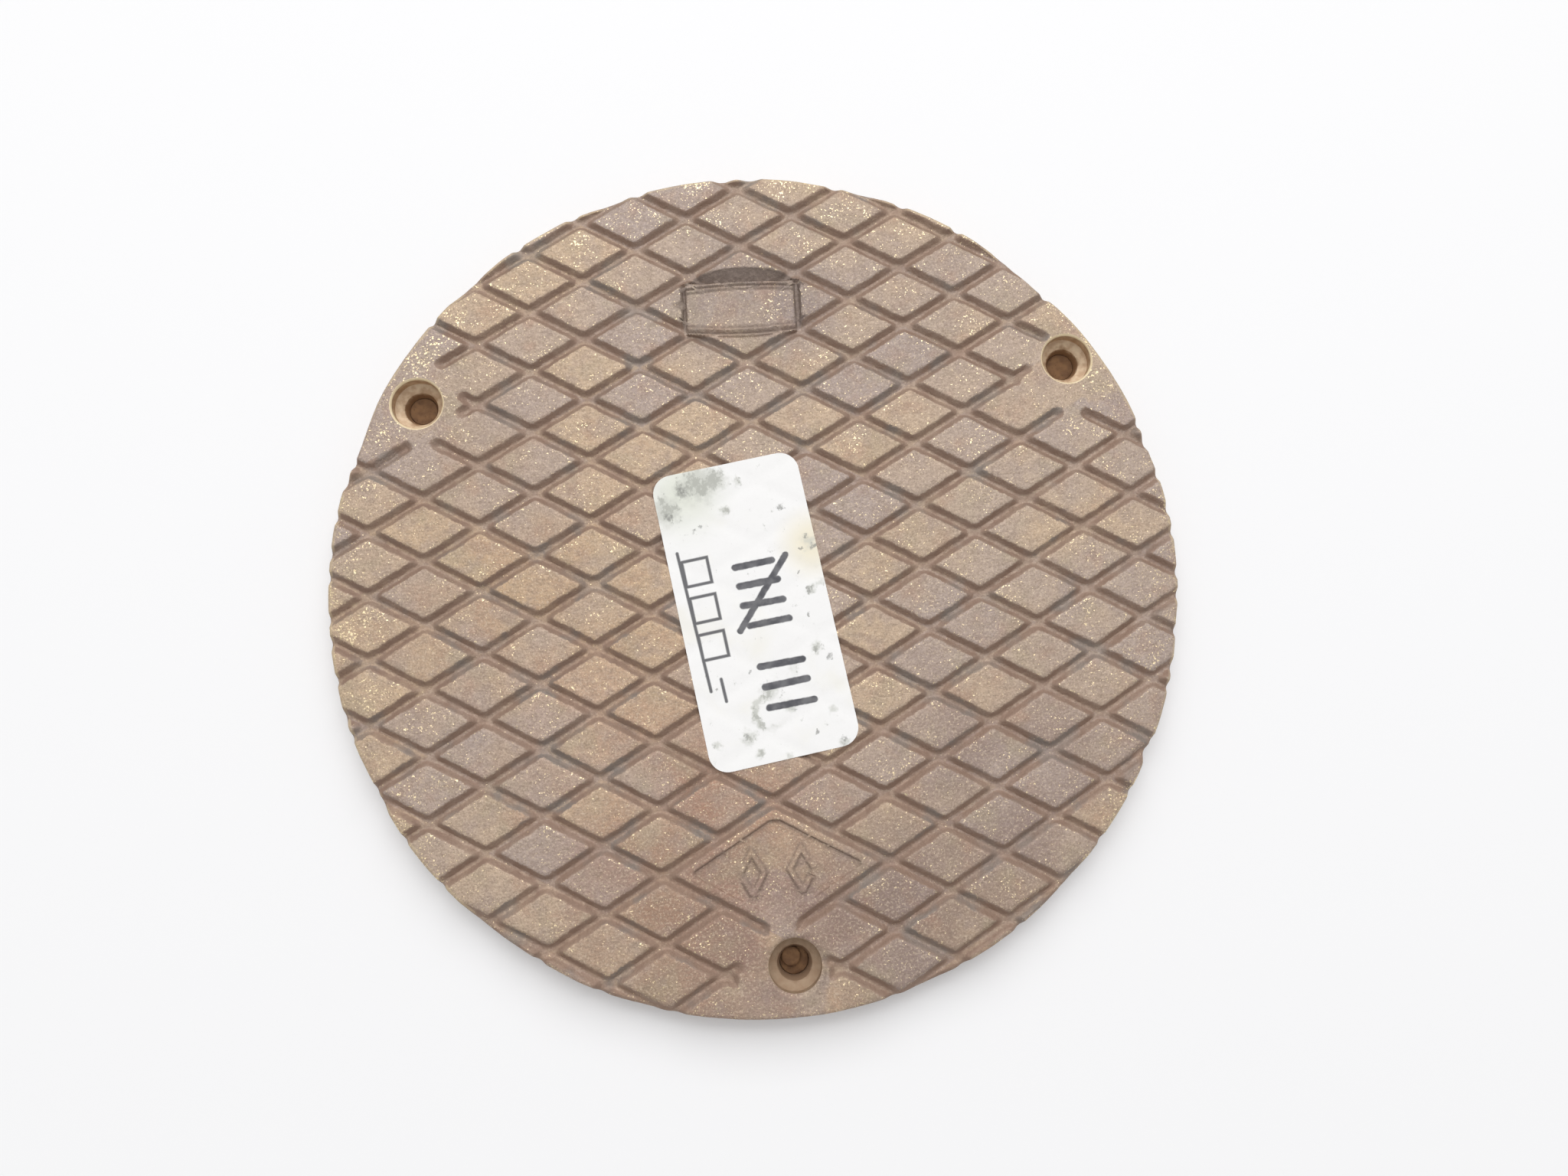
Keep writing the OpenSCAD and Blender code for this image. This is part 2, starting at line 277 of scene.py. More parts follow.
labelSet = {
    "centre": (-1.26, -5.94), "width": 25.8, "height": 52.1, "corner": 3.3, "turn": 9.1,
    "thick": 0.15, "cell": 0.6, "sag": 0.09,
    # pen bars: two ends and half a width, in mm on the cover
    "bars": (
        ((-4.2, 1.4), (2.2, 2.4), 0.6), ((-3.6, -1.9), (3.0, -1.0), 0.62), ((-3.2, -5.3), (3.7, -4.5), 0.6),
        ((-2.2, -8.8), (4.6, -7.8), 0.58), ((-3.9, -9.6), (4.6, 3.2), 0.56),
        ((-0.9, -15.9), (6.4, -15.0), 0.6), ((-0.2, -19.4), (7.0, -18.3), 0.62),
        ((0.3, -22.9), (8.0, -21.9), 0.58),
    ),
    # printed boxes: middle, and half a side
    "boxes": (((-10.8, 1.0), 2.2), ((-9.7, -5.4), 2.2), ((-8.6, -11.8), 2.2)),
    "rule": (((-14.0, 4.4), (-9.4, -19.6)), ((-7.6, -17.6), (-6.9, -21.4))),
    "printHalf": 0.27, "inkEdge": 0.12,
    # broad grey smudges: place, radius, strength
    "smudges": (
        (-9.7, 16.4, 5.2, 1.0), (-12.2, 15.6, 3.0, 1.0), (-15.4, 11.9, 4.0, 1.0), (-16.2, 13.4, 2.4, 0.9),
        (-7.0, 17.2, 3.6, 0.9), (-5.4, 11.6, 1.7, 0.9), (9.0, 5.2, 2.6, 0.6), (8.6, -3.0, 1.4, 0.8),
        (10.6, -2.0, 1.6, 0.6), (8.8, -13.3, 1.8, 0.8), (0.8, -20.0, 3.0, 0.6), (3.8, -22.8, 1.9, 0.8),
        (-3.3, -27.8, 2.2, 0.85), (-1.7, -30.5, 1.6, 0.75), (12.8, -29.6, 1.6, 0.9), (5.0, -16.0, 2.2, 0.5),
        (-9.0, -28.6, 1.3, 0.7), (11.0, -24.0, 1.6, 0.5), (3.2, -31.2, 1.2, 0.6), (-2.9, 16.6, 1.2, 0.6),
    ),
    # small dark spots: place and radius
    "spots": (
        (-12.5, 15.5, 0.9), (-11.0, 8.2, 0.42), (-9.7, 9.0, 0.36), (-12.5, 7.6, 0.25), (4.4, 11.7, 0.45),
        (3.9, 11.4, 0.35), (8.2, 6.1, 0.35), (9.4, 4.4, 0.5), (7.3, 4.2, 0.3), (6.7, 0.1, 0.25),
        (8.5, -3.1, 0.5), (11.0, -14.8, 0.55), (8.6, -13.6, 0.4), (-2.7, -16.7, 0.32), (7.9, -7.5, 0.25),
        (12.7, -28.7, 0.42), (8.2, -27.3, 0.3), (-8.4, -19.4, 0.25), (-15.2, 10.9, 0.6), (-3.9, -27.6, 0.5),
    ),
    "ringSmudge": (0.6, -23.7, 2.8, 1.2),      # place, radius and width
    "paper": ("#F5F4F3", "#F9F8F7"), "yellowed": "#F2EAD4", "aged": "#F1EEE2", "handled": "#E4E6DB",
    "haze": "#C8C9C1", "speckle": "#A1A29A", "spot": "#83837F", "print": "#545458", "pen": "#4A4A50",
}


def labelPaper():
    # Uncoated white label paper: matt and faintly fibrous, with printing, pen bars and handling smudges.
    mat, add, place, grain = newMaterial("label paper, uncoated")
    flat = add("VectorMath MULTIPLY", place, (1, 1, 0))
    s = labelSet
    fibres = grain(0.6, 3, 0.6, 31)
    colour = add("Mix", fibres, *map(srgb, s["paper"]))
    # yellowed at places, greener where it was handled
    colour = add("Mix", spotAt(add, flat, 9.6, 5, 8, 0.9), colour, srgb(s["yellowed"]))
    aged = add("MapRange", grain(9, 2, seed=37), 0.5, 0.75, 0, 0.5)
    colour = add("Mix", aged, colour, srgb(s["aged"]))
    colour = add("Mix", spotAt(add, flat, -13, 15, 11, 1), colour, srgb(s["handled"]))
    # smudge outlines are ragged because the place itself is shaken
    jitter = add("TexNoise", place, Scale=1.2, Detail=3, out="Color")
    shaken = add("VectorMath MULTIPLY", add("VectorMath SUBTRACT", jitter, (0.5, 0.5, 0.5)), (2, 2, 0))
    ragged = add("VectorMath ADD", flat, shaken)
    haze, spots = 0.0, 0.0
    for x, y, radius, strength in s["smudges"]:
        smudge = add("Math MULTIPLY", spotAt(add, ragged, x, y, radius, 1), strength)
        haze = add("Math MAXIMUM", haze, smudge)
    for x, y, radius in s["spots"]:
        spots = add("Math MAXIMUM", spots, spotAt(add, ragged, x, y, radius * 1.3, 0.5))
    x, y, radius, wide = s["ringSmudge"]
    away = add("VectorMath DISTANCE", ragged, (x, y, 0))
    leftSide = add("MapRange", add("VectorMath DISTANCE", flat, (x - 2.2, y + 0.4, 0)), 5, 1.5, 0.2, 0.85)
    onRing = add("MapRange", add("Math ABSOLUTE", add("Math SUBTRACT", away, radius)), wide, 0)
    haze = add("Math MAXIMUM", haze, add("Math MULTIPLY", onRing, leftSide))
    cloudy = add("Math ADD", add("Math MULTIPLY", haze, 0.75),
                 add("Math MULTIPLY", grain(1.7, 4, 0.6, 34), 0.8))
    colour = add("Mix", add("MapRange", cloudy, 0.45, 1.0, 0, 0.72), colour, srgb(s["haze"]))
    speckled = add("Math ADD", add("Math MULTIPLY", haze, 0.22), grain(1.3, 5, 0.72, 33, (1, 0.7, 1)))
    colour = add("Mix", add("MapRange", speckled, 0.63, 0.74, 0, 0.55), colour, srgb(s["speckle"]))
    faint = add("MapRange", grain(0.5, 3, 0.7, 38, (1, 0.55, 1)), 0.38, 0.6, 0.1, 0.7)
    colour = add("Mix", add("Math MULTIPLY", spots, faint), colour, srgb(s["spot"]))
    shake = add("Math MULTIPLY", add("Math SUBTRACT", grain(0.9, 2, seed=35), 0.5), 0.22)

    def stroke(a, b, half, edgeShake):
        # 1 along a straight stroke with round ends
        dx, dy = b[0] - a[0], b[1] - a[1]
        moved = add("VectorMath SUBTRACT", flat, (a[0], a[1], 0))
        along = add("VectorMath DOT_PRODUCT", moved, (dx, dy, 0))
        part = add("Math MULTIPLY", along, 1 / (dx * dx + dy * dy), use_clamp=True)
        onLine = add("VectorMath MULTIPLY", add("CombineXYZ", part, part), (dx, dy, 0))
        away = add("Math ADD", add("VectorMath DISTANCE", moved, onLine), edgeShake)
        return add("MapRange", away, half + s["inkEdge"], half - s["inkEdge"])

    pen, printed = 0.0, 0.0
    for a, b, half in s["bars"]:
        pen = add("Math MAXIMUM", pen, stroke(a, b, half, shake))
    for a, b in s["rule"]:
        printed = add("Math MAXIMUM", printed, stroke(a, b, s["printHalf"], 0))
    for (x, y), half in s["boxes"]:
        placed = add("Mapping", flat, vector_type="TEXTURE", Location=(x, y, 0),
                     Rotation=(0, 0, math.radians(s["turn"])))
        sides = add("VectorMath ABSOLUTE", placed)
        away = add("Math MAXIMUM", add("SeparateXYZ", sides, out="X"), add("SeparateXYZ", sides, out="Y"))
        away = add("Math ABSOLUTE", add("Math SUBTRACT", away, half))
        line = add("MapRange", away, s["printHalf"] + s["inkEdge"], s["printHalf"] - s["inkEdge"])
        printed = add("Math MAXIMUM", printed, line)
    colour = add("Mix", add("Math MULTIPLY", printed, 0.93), colour, srgb(s["print"]))
    inked = add("Math MULTIPLY", pen, add("MapRange", grain(1.5, 2, seed=36), 0.3, 0.7, 0.9, 1))
    colour = add("Mix", inked, colour, srgb(s["pen"]))
    rough = add("Math SUBTRACT", 0.75, add("Math MULTIPLY", pen, 0.2))
    return finished(mat, add, fibres, 0.2, 0.05, Base_Color=colour, Roughness=rough)


bronze, drilled, soil, paper = castBronze(), drilledBronze(), packedSoil(), labelPaper()
print("materials made")


# The cast cover

coverSet = {
    "radius": 73.5,            # at the widest, just under the rounded top edge
    "top": 6.4,                # top of the tread over the seat
    "pitch": 9.525,            # between grooves of one family
    "grooveHalf": 1.15,        # half width at the top
    "wallRun": 0.9,            # plan width of one groove wall
    "grooveDepth": 1.0,
    "cornerRound": 0.25,       # rounding of the diamonds' corners in plan
    "edgeSoft": 0.16,          # how much of a wall its rounded bends take
    "edgeRound": 0.55,         # rounding of the rim's top edge
    "rimSides": 288,
    "rimDraft": 0.4,
    "lineOffsets": (0.18, 0.42, 0.85, 1.08, 1.3, 1.75, 3.1),    # the grid's lines from a groove's middle
    "longCell": 0.8, "longestCell": 1.7,     # cells in a groove longer than these are cut in three or four
    "slab": 3,                 # how thick the grid is while it is cut round
    "bossZone": 3000,          # square of a radius within which no boss reaches
    "bossFine": 3300,          # and of one beyond which the grid is refined at the bosses
    "relief": 59,              # radius of the hollow underneath
    "reliefDepth": 2.2,
    "roofRings": (54, 49, 44, 38, 32, 25, 18, 11, 5, 2),        # radii of the rings of its roof
    "thinned": (54, 38, 25, 18, 11, 5, 2),                      # those on which close points are merged
    "rimWear": 0.1, "rimWearWide": 2.0,
    # place round the rim in degrees, width in degrees, depth in mm
    "dents": ((43, 4, 0.7), (15, 5, 0.4), (159, 5, 0.75), (318, 26, 0.3), (332, 1.2, 0.5), (350, 3, 0.25),
              (205, 4, 0.3), (236, 6, 0.25), (78, 3, 0.3)),
}
bossSet = {
    "reach": 66.675, "radius": 7.0, "turns": (30, 150, 270),
    "shortGroove": (51, 31, 2.4),     # place and radius of the plain patch where one groove stops short
    "openEnd": 3,                     # nothing changes in a groove this far from a boss
}
# Boxes are given as a middle and half sides
badgeSet = {
    "around": (0, 50, 13, 8), "fine": (-0.3, 49.6, 11.6, 7.4),
    "middle": -0.1,
    "left": -11.1, "right": 10.35,              # where the tread's tops end beside it
    "plateLeft": -10.25, "plateRight": 9.2,
    "high": 53.55, "low": 42.75, "lowRise": 1.0,     # top and bottom of the plate
    "archHalf": 11.2, "archRise": 2.62,         # the long slope above the plate: half chord and rise
    "archTaper": (9.9, 8.3),                    # how far out it ends and is whole
    "field": 0.4, "bend": 0.55, "ribWide": 0.27, "lineWide": 0.2,
    # each rib's place up the page, its height and which way it bends
    "ribs": ((53.2, 0.3, -1), (52.5, 0.2, -1), (44.55, 0.26, 1), (43.4, 0.3, 1)),
    # each dark line's place, its depth, the strength of its grime and painted shade, and which way it bends
    "lines": ((52.86, 0.18, 0.7, -1), (52.05, 0.1, 0.55, -1), (45.0, 0.16, 0.6, 1), (43.9, 0.24, 0.85, 1),
              (42.95, 0.1, 0.4, 1)),
}
diamondSet = {
    "around": (0, -49.5, 20, 12), "fine": (0, -49.9, 6.8, 4.2),
    "centre": (0, -49.491), "lip": 1.15, "fieldDrop": 0.42,
    "bridge": (0.4, -60.2, 1.8, 2.6),           # the plain bridge to the boss below
    "lozenges": ((-4.2, -50.0), (4.1, -49.8)), "lozengeHalf": (2.0, 3.55),
    "strokeHalf": 0.46, "strokeHeight": 0.34,
}
holeSet = {
    "centre": (0.5, 1.5), "reach": 66.675, "turn": 31.3,
    "hole": 2.5, "throat": 2.95, "bore": 4.4, "boreDepth": 2.3, "pointAngle": 118, "throatDepth": 1.2,
    "mouth": 0.35, "count": 3, "sides": 72, "past": 0.6,
    # the worn dish at the lowest hole: how far below its middle, where its edge starts and ends, its depth
    "dishDown": 0.4, "dishEdge": (4.3, 5.5), "dishReach": 5.8, "dishDepth": 0.4,
}
# What is rubbed: distances in from the rim, and how strongly
wearSet = {
    "rim": (2.2, 0.5), "rimHeight": (4.4, 5.6), "outer": (15, 4), "edge": 0.4, "edgeWide": 0.3,
    "sideHeight": 3.6,        # nothing below this height is marked
}
farAway = 99
bossWays = [(math.cos(math.radians(a)), math.sin(math.radians(a))) for a in bossSet["turns"]]


def holePlace(k):
    turn = math.radians(holeSet["turn"] + 360 / holeSet["count"] * k)
    return (holeSet["centre"][0] + holeSet["reach"] * math.cos(turn),
            holeSet["centre"][1] + holeSet["reach"] * math.sin(turn))


def latticeOf(x, y):
    # distances across the two families of grooves
    return (-0.5 * x + 0.5 * root3 * y, 0.5 * x + 0.5 * root3 * y)


def roundedMax(a, b, r):
    # the larger of two side distances, with the corner between them rounded
    if a > -r and b > -r:
        return math.hypot(a + r, b + r) - r
    return max(a, b)


def ramp(e, run, soft):
    # 0 on the top, 1 on the floor, e mm out from the wall's top edge, both bends rounded
    t = e / run
    if t <= -soft:
        return 0
    if t < soft:
        return (t + soft) ** 2 / (4 * soft)
    if t <= 1 - soft:
        return t
    if t < 1 + soft:
        return 1 - (1 + soft - t) ** 2 / (4 * soft)
    return 1


def hump(x, width):
    return math.exp(-(x / width) ** 2)


def endAt(edge, gap):
    # a groove runs out in a rounded, sloping end where the gap to a plain boss closes
    return edge if gap > bossSet["openEnd"] else -roundedMax(-edge, -0.6 * gap, 0.9)


def archHeight(x, half, rise):
    # height of a round arch over its chord
    radius = (half * half + rise * rise) / (2 * rise)
    return math.sqrt(max(radius * radius - x * x, 0)) - radius + rise


def bossStrip(x, y):
    # signed distance to the plain strips that run from the bosses out to the rim
    best = farAway
    if x * x + y * y > coverSet["bossZone"]:
        for c, s in bossWays:
            along = x * c + y * s - bossSet["reach"]
            across = abs(y * c - x * s) - bossSet["radius"]
            best = min(best, max(across, -along) if along < 0.5 else across)
    return best


def grooveGap(across, along, bosses):
    # how far a place in a groove is beyond the square end that the groove has at a boss; across and along
    # are the place's own distances, taken across this family of grooves and along it
    pitch, radius = coverSet["pitch"], bossSet["radius"]
    line = (math.floor(across / pitch) + 0.5) * pitch
    best = farAway
    for bossAcross, bossAlong in bosses:
        off = abs(line - bossAcross)
        if off < radius:
            best = min(best, abs(along - bossAlong) - math.sqrt(radius ** 2 - off * off))
    return best


def alongOf(x, y):
    # distances along the two families of grooves
    return (0.5 * root3 * x + 0.5 * y, 0.5 * root3 * x - 0.5 * y)


# Across and along each boss centre, for each family
bossCentres = [(c * bossSet["reach"], s * bossSet["reach"]) for c, s in bossWays]
bossInU, bossInV = ([(latticeOf(x, y)[k], alongOf(x, y)[k]) for x, y in bossCentres] for k in (0, 1))


def islandEdge(x, y):
    # signed distance to the raised tops: diamonds, bosses and the large diamond
    s = coverSet
    u, v = latticeOf(x, y)
    half = s["pitch"] / 2 - s["grooveHalf"]
    a = abs(u - s["pitch"] * round(u / s["pitch"])) - half
    b = abs(v - s["pitch"] * round(v / s["pitch"])) - half
    if x * x + y * y > s["bossZone"]:
        alongU, alongV = alongOf(x, y)
        a = endAt(a, grooveGap(u, alongU, bossInU))
        b = endAt(b, grooveGap(v, alongV, bossInV))
    edge = endAt(roundedMax(a, b, s["cornerRound"]), bossStrip(x, y))
    cu, cv = latticeOf(*diamondSet["centre"])
    reach = s["pitch"] - s["grooveHalf"]
    big = roundedMax(abs(u - cu) - reach, abs(v - cv) - reach, 0.5)
    # the big diamond's lowest corner runs into the boss below it
    bridgeX, bridgeY, halfX, halfY = diamondSet["bridge"]
    bridge = max(abs(x - bridgeX) - halfX, abs(y - bridgeY) - halfY)
    # one groove stops short of the right-hand boss
    stopX, stopY, stopRadius = bossSet["shortGroove"]
    short = math.hypot(x - stopX, y - stopY) - stopRadius
    return min(endAt(edge, min(bridge, short)), big)


def strokeMarks(x, y):
    # signed distance to the two plain lozenge outlines in the large diamond
    best = farAway
    w, h = diamondSet["lozengeHalf"]
    for cx, cy in diamondSet["lozenges"]:
        k = (abs(x - cx) / w + abs(y - cy) / h - 1) * w * h / math.hypot(w, h)
        best = min(best, abs(k) - diamondSet["strokeHalf"])
    return best


def badgeAt(x, y, drop, edge, wander):
    # the badge: an arched slope with painted shade on it, a low plate with double ribs at its top and bottom,
    # side grooves
    g = badgeSet
    across = x - g["middle"]
    bend = g["bend"] * (across / 10) ** 2
    low = g["low"] + g["lowRise"] * (across / 9.5) ** 2
    grimeAndShade = 0.12
    box = max(g["left"] - x, x - g["right"], y - g["high"], low - y)
    fade = smooth(0, 0.3, -box)
    if fade > 0:
        level = g["field"] + 0.04 * wave(x, y, 2.5, 30)
        for place, height, way in g["ribs"]:
            level -= height * hump(y - place - way * bend, g["ribWide"])
        # the dark lines are low grooves darkened with grime and painted shade
        for place, depth, strength, way in g["lines"]:
            line = hump(y - place - way * bend, g["lineWide"])
            level += depth * line
            grimeAndShade = max(grimeAndShade, strength * line)
        beside = max(g["plateLeft"] - x, x - g["plateRight"]) + 0.15 * wander
        cut = smooth(-0.14, 0.16, beside)
        level = max(level, 0.04) * (1 - cut) + cut
        # the side grooves are painted dark: grime, and painted shade in their narrow depth
        sideGrimeAndShade = cut * 0.8 * smooth(0.3, 0.9, g["high"] - y) * smooth(0.3, 1.2, y - low)
        grimeAndShade = max(grimeAndShade * (1 - cut), sideGrimeAndShade) * fade
        drop = drop * (1 - fade) + level * fade
        edge = edge * (1 - fade) - 0.5 * fade
    arch = archHeight(across, g["archHalf"], g["archRise"]) * smooth(*g["archTaper"], abs(across))
    above = y - g["high"]
    if arch > 0.02 and -0.2 < above < arch + 0.3:
        slope = min(max((arch - above) / max(arch, 0.4), 0), 1)
        inside = smooth(-0.2, 0.05, above) * smooth(-0.05, 0.15, arch - above)
        drop = max(drop, (0.08 + 0.92 * slope) * inside)
        # the arched slope faces away from the light, and its dark is painted shade
        grimeAndShade = max(grimeAndShade, inside)
    return drop, edge, grimeAndShade


def bigDiamondAt(x, y, drop, wander):
    # the field inside the large diamond's lip, and two lozenges on the field
    u, v = latticeOf(x, y)
    cu, cv = latticeOf(*diamondSet["centre"])
    inner = coverSet["pitch"] - coverSet["grooveHalf"] - diamondSet["lip"]
    field = roundedMax(abs(u - cu) - inner, abs(v - cv) - inner, 1.0) + 0.5 * wander
    grimeAndShade = 0
    if field < 0.4:
        stroke = strokeMarks(x, y)
        drop += diamondSet["fieldDrop"] * smooth(-0.12, 0.2, -field)
        drop -= diamondSet["strokeHeight"] * (1 - smooth(-0.18, 0.22, stroke))
        # grime with painted shade: the line round the field is darker on its upper side, where its wall faces
        # away from the light, and the strokes get dark rims
        upper = smooth(-1, 1, y - diamondSet["centre"][1])
        grimeAndShade = max((0.1 + 0.52 * upper) * hump(field + 0.05, 0.25), 0.5 * hump(stroke - 0.08, 0.26))
    return drop, grimeAndShade


def treadAt(x, y):
    # how far the surface lies below the top of the tread, the way into a groove from its edge, and grime with
    # painted shade
    s = coverSet
    wander = 0.09 * wave(x, y, 3.2, 1) + 0.09 * wave(x, y, 1.3, 2) + 0.03 * wave(x, y, 0.7, 14)
    edge = islandEdge(x, y) + wander
    soft = s["edgeSoft"] + 0.06 * wave(x, y, 9, 3)
    deep = s["grooveDepth"] - 0.06 + 0.09 * wave(x, y, 6, 4) + 0.05 * wave(x, y, 1.5, 15)
    drop = ramp(edge, s["wallRun"], soft) * deep
    grimeAndShade = 0
    if within(x, y, badgeSet["around"]):
        drop, edge, grimeAndShade = badgeAt(x, y, drop, edge, wander)
    elif within(x, y, diamondSet["around"]):
        drop, grimeAndShade = bigDiamondAt(x, y, drop, wander)
    # worn dish at the lowest hole
    hx, hy = holePlace(2)
    away = math.hypot(x - hx, y - hy + holeSet["dishDown"])
    if away < holeSet["dishReach"]:
        dish = smooth(*holeSet["dishEdge"], away + 0.2 * wave(x, y, 2, 16))
        drop += holeSet["dishDepth"] * (1 - dish)
        grimeAndShade = max(grimeAndShade, 0.5 * hump(dish - 0.6, 0.4) * smooth(1, -3, y - hy))
    return drop, edge, grimeAndShade


def toObject(bm, name):
    bmesh.ops.scale(bm, verts=bm.verts, vec=(mm, mm, mm))
    mesh = bpy.data.meshes.new(name)
    bm.to_mesh(mesh)
    bm.free()
    obj = bpy.data.objects.new(name, mesh)
    bpy.context.scene.collection.objects.link(obj)
    return obj


def combined(obj, operation, cutters):
    # the object's mesh cut by each cutter, or cut to it, and the cutters deleted
    for k, cutter in enumerate(cutters):
        mod = obj.modifiers.new("cut%d" % k, "BOOLEAN")
        mod.operation = operation
        mod.solver = "MANIFOLD"
        mod.object = cutter
    made = bpy.data.meshes.new_from_object(obj.evaluated_get(bpy.context.evaluated_depsgraph_get()))
    obj.modifiers.clear()
    old = obj.data
    obj.data = made
    bpy.data.meshes.remove(old)
    for cutter in cutters:
        bpy.data.objects.remove(cutter)


def spun(profile, steps, place=(0, 0)):
    # a closed body spun from radius and height pairs
    bm = bmesh.new()
    verts = [bm.verts.new((r, 0, z)) for r, z in profile]
    edges = [bm.edges.new(pair) for pair in zip(verts, verts[1:])]
    bmesh.ops.spin(bm, geom=verts + edges, cent=(0, 0, 0), axis=(0, 0, 1), dvec=(0, 0, 0),
                   angle=2 * math.pi, steps=steps, use_merge=True)
    bmesh.ops.remove_doubles(bm, verts=bm.verts, dist=0.0001)
    bmesh.ops.recalc_face_normals(bm, faces=bm.faces[:])
    bmesh.ops.translate(bm, verts=bm.verts, vec=(*place, 0))
    return bm


def treadGrid():
    # a grid whose lines are moved to lie close together along the grooves
    s = coverSet
    bm = bmesh.new()
    lines = []
    most = math.ceil(s["radius"] / s["pitch"]) + 1
    for k in range(-most, most + 1):
        lines.append(k * s["pitch"])
        lines += [(k + 0.5) * s["pitch"] + side * off for off in s["lineOffsets"] for side in (-1, 1)]
    limit = s["radius"] + 1
    lines = sorted(p for p in lines if abs(p) < limit)
    count = len(lines) - 1
    bmesh.ops.create_grid(bm, x_segments=count, y_segments=count, size=0.5)
    for vert in bm.verts:
        u = lines[round((vert.co.x + 0.5) * count)]
        v = lines[round((vert.co.y + 0.5) * count)]
        vert.co = (v - u, (u + v) / root3, 0)
    rim = s["radius"] - s["edgeRound"]
    outside = [f for f in bm.faces if min(v.co.xy.length for v in f.verts) > rim + 0.5]
    bmesh.ops.delete(bm, geom=outside, context="FACES")

    # long cells along the grooves are cut in three or four, so that the walls can wander
    def inGroove(p, q):
        half = s["pitch"] / 2 - 1.35
        for a, b in zip(latticeOf(p.x, p.y), latticeOf(q.x, q.y)):
            if abs(a - b) < 0.01 and abs(a - s["pitch"] * round(a / s["pitch"])) > half:
                return True
        return False

    long = [e for e in bm.edges if e.calc_length() > s["longCell"] and inGroove(e.verts[0].co, e.verts[1].co)]
    longest = [e for e in long if e.calc_length() > s["longestCell"]]
    bmesh.ops.subdivide_edges(bm, edges=[e for e in long if e.calc_length() <= s["longestCell"]], cuts=2)
    bmesh.ops.subdivide_edges(bm, edges=longest, cuts=3)

    # finer faces where the outlines don't follow the grooves
    def refine(near, length, passes):
        for _ in range(passes):
            long = [e for e in bm.edges
                    if near((e.verts[0].co + e.verts[1].co) / 2) and e.calc_length() > length]
            if long:
                bmesh.ops.subdivide_edges(bm, edges=long, cuts=1, use_grid_fill=True)

    def lipLine(p):
        u, v = latticeOf(p.x, p.y)
        cu, cv = latticeOf(*diamondSet["centre"])
        return abs(max(abs(u - cu), abs(v - cv)) - s["pitch"] + s["grooveHalf"] + diamondSet["lip"])

    def bossEnd(p):
        return (p.x * p.x + p.y * p.y > s["bossFine"] and -0.4 < islandEdge(p.x, p.y) < 1
                and bossStrip(p.x, p.y) < 8)

    refine(lambda p: within(p.x, p.y, badgeSet["fine"]), 0.3, 4)
    refine(lambda p: within(p.x, p.y, diamondSet["fine"]), 0.6, 3)
    refine(lambda p: strokeMarks(p.x, p.y) < 0.5, 0.27, 2)
    refine(lambda p: lipLine(p) < 0.9, 0.8, 2)
    refine(lambda p: lipLine(p) < 0.4, 0.36, 2)
    refine(bossEnd, 0.5, 2)
    return bm


